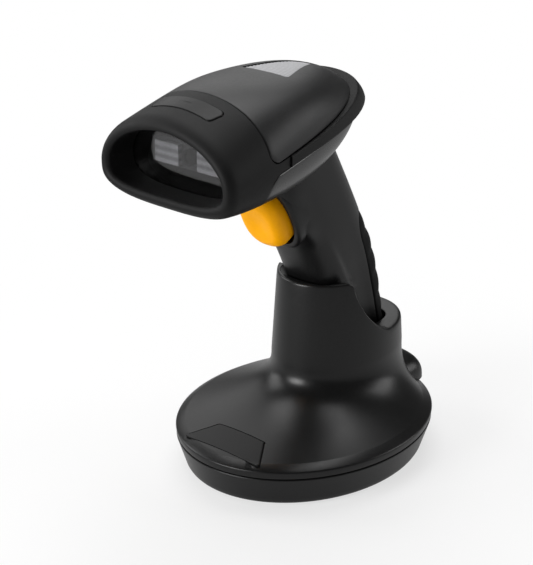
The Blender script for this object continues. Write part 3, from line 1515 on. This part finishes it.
def cover_grid(surface, gap=0.0):
    """A grid over the cover, at a height out of the grip's surface that depends on the distance along it."""
    steps = RIB_STEPS * COVER_RIBS
    ends = (COVER_FOOT_AT - gap, COVER_TOP_AT + gap)
    return grip_patch(*ends, BACK, lambda at: cover_half_angle(at, gap), surface, steps, COVER_COLUMNS)


def cover_surface(at):
    """How far the ribbed cover stands out of the grip's surface."""
    share = (at - COVER_FOOT_AT) / (COVER_TOP_AT - COVER_FOOT_AT)
    rib = 0.5 - 0.5 * math.cos(2.0 * math.pi * COVER_RIBS * share)
    return COVER_RIB_DEPTH * rib - COVER_INSET


def build_battery_cover():
    outer = cover_grid(cover_surface)
    inner = cover_grid(lambda at: GAP - GRIP_WALL)
    cover = make_node("battery_cover", slab(outer, inner), BLACK_RUBBER, SCANNER_FRAME)
    recess = turned(
        [
            (SCREW_HEAD_RADIUS + RUNNING_GAP, -CUT_REACH),
            (SCREW_HEAD_RADIUS + RUNNING_GAP, 0.0),
            (SCREW_SHANK_RADIUS + RUNNING_GAP, 0.0),
            (SCREW_SHANK_RADIUS + RUNNING_GAP, CUT_REACH),
        ],
        SCREW_SIDES,
    )
    cut(cover, placed(recess, cover_screw_frame()))
    seat = cover_screw_frame() @ Matrix.Translation((0.0, 0.0, -GAP))
    make_node("cover_screw", placed(screw_shape(COVER_SCREW_LENGTH), seat), STEEL, SCANNER_FRAME)


def build_end_cap():
    top = END_CAP_HEIGHT + END_SPIGOT
    rings = [
        grip_ring(0.0, -END_BEVEL),
        grip_ring(END_BEVEL),
        grip_ring(END_CAP_HEIGHT),
        grip_ring(END_CAP_HEIGHT, -GRIP_WALL - GAP),
        grip_ring(top, -GRIP_WALL - GAP),
    ]
    cap = make_node("end_cap", loft(rings), BLACK_SATIN, SCANNER_FRAME)
    pad_top = PAD_RECESS + PAD_THICKNESS
    for side, x in (("left", CONTACT_X), ("right", -CONTACT_X)):
        spot = seat_frame() @ Matrix.Translation((x, 0.0, 0.0))
        cut(cap, placed(rod(PAD_RADIUS + GAP, -OVERLAP, pad_top + GAP), spot))
        pad = placed(rod(PAD_RADIUS, PAD_RECESS, pad_top), spot)
        make_node(f"charge_pad_{side}", pad, BRASS, SCANNER_FRAME)


def build_battery():
    foot = grip_axis(BATTERY_FOOT_AT)
    top = grip_axis(BATTERY_TOP_AT)
    frame = grip_frame(0.5 * (BATTERY_FOOT_AT + BATTERY_TOP_AT))
    frame.translation = 0.5 * (foot + top)
    half = 0.5 * BATTERY_LENGTH
    cell = [
        (BATTERY_RADIUS - BATTERY_BEVEL, -half),
        (BATTERY_RADIUS, -half + BATTERY_BEVEL),
        (BATTERY_RADIUS, half - BATTERY_BEVEL),
        (BATTERY_RADIUS - BATTERY_BEVEL, half),
    ]
    make_node("battery", placed(turned(cell), frame), CELL_BLUE, SCANNER_FRAME)
    far = half + GAP + CONTACT_THICKNESS
    for name, low in (("top", half + GAP), ("bottom", -far)):
        plate = rod(CONTACT_RADIUS, low, low + CONTACT_THICKNESS)
        make_node(f"battery_contact_{name}", placed(plate, frame), STEEL, SCANNER_FRAME)


def build_trigger():
    rings = [
        trigger_ring(TRIGGER_INNER_END, TRIGGER_BACK_SCALE),
        trigger_ring(TRIGGER_INNER_END + TRIGGER_BACK_BEVEL, 1.0),
        trigger_ring(COLLAR_FRONT, 1.0),
    ]
    brow = [(back * TRIGGER_BROW_DEPTH, scale) for back, scale in TRIGGER_BROW]
    hollow = [(back * TRIGGER_DISH, scale) for back, scale in TRIGGER_HOLLOW]
    rings += [trigger_ring(TRIGGER_OUTER_END - back, scale) for back, scale in brow + hollow]
    pivot = pivot_point()
    trigger = make_node("trigger", loft(rings), TRIGGER_YELLOW, SCANNER_FRAME, pivot)
    frame = trigger_frame()
    reach = TRIGGER_INNER_END + TRIGGER_ROOT
    arm = box(
        (-LUG_HALF_WIDTH + OVERLAP, PIVOT_OUT, PIVOT_UP - 0.8 * LUG_RADIUS),
        (LUG_HALF_WIDTH - OVERLAP, reach, PIVOT_UP + 0.8 * LUG_RADIUS),
    )
    cut(trigger, placed(arm, frame), "UNION")
    lug = rod(LUG_RADIUS, -LUG_HALF_WIDTH, LUG_HALF_WIDTH)
    cut(trigger, placed(lug, across_frame(pivot)), "UNION")
    hole = rod(PIN_RADIUS + GAP, -2.0 * LUG_HALF_WIDTH, 2.0 * LUG_HALF_WIDTH)
    cut(trigger, placed(hole, across_frame(pivot)))
    nub = box(
        (-NUB_HALF, TRIGGER_INNER_END - NUB_LENGTH, -NUB_DOWN - NUB_HALF),
        (NUB_HALF, reach, -NUB_DOWN + NUB_HALF),
    )
    cut(trigger, placed(nub, frame), "UNION")
    pin = placed(rod(PIN_RADIUS, -PIN_HALF_LENGTH, PIN_HALF_LENGTH), across_frame(pivot))
    make_node("trigger_pin", pin, STEEL, SCANNER_FRAME)


def build_switch():
    frame = trigger_frame()
    board_back = bulkhead_front() + GAP
    width, height = SWITCH_BOARD_SIZE
    low = (-width / 2.0, board_back, -NUB_DOWN - height / 2.0)
    high = (width / 2.0, board_back + BOARD_THICKNESS, -NUB_DOWN + height / 2.0)
    make_node("trigger_board", placed(box(low, high), frame), BOARD_GREEN, SCANNER_FRAME)
    back = board_back + BOARD_THICKNESS + GAP
    wide, tall, deep = SWITCH_SIZE
    low = (-wide / 2.0, back, -NUB_DOWN - tall / 2.0)
    high = (wide / 2.0, back + deep, -NUB_DOWN + tall / 2.0)
    switch = make_node("trigger_switch", placed(box(low, high), frame), BADGE_BLACK, SCANNER_FRAME)
    outward = Matrix.Translation((0.0, 0.0, -NUB_DOWN)) @ Matrix.Rotation(-math.pi / 2.0, 4, "X")
    tip = back + deep + PLUNGER_REACH
    bore = rod(PLUNGER_RADIUS + GAP, back + SWITCH_FLOOR, tip)
    cut(switch, placed(bore, frame @ outward))
    plunger = placed(rod(PLUNGER_RADIUS, tip - PLUNGER_LENGTH, tip), frame @ outward)
    face = frame @ outward @ Vector((0.0, 0.0, tip))
    make_node("switch_plunger", plunger, BLACK_RUBBER, SCANNER_FRAME, face)


clear_scene()
MIDDLE_Y = 0.5 * (BASE_HALF_LENGTH + NOSE_Y)
CRADLE_FRAME = make_empty("cradle_frame", (0.0, -MIDDLE_Y, 0.0))
SCANNER_FRAME = make_empty("scanner_frame", SEAT, CRADLE_FRAME)

build_cradle_shell()
build_base_tray()
build_tray_screws()
build_feet()
build_ballast()
build_cradle_board()
build_cable_socket()
build_base_badge()
build_contacts()
build_nose_boot()
build_nose_badge()
build_top_housing()
build_status_lens()
build_lower_housing()
build_head_screws()
build_rear_band()
build_scan_window()
build_engine()
build_main_board()
build_handle_shell()
build_battery_cover()
build_end_cap()
build_battery()
build_trigger()
build_switch()
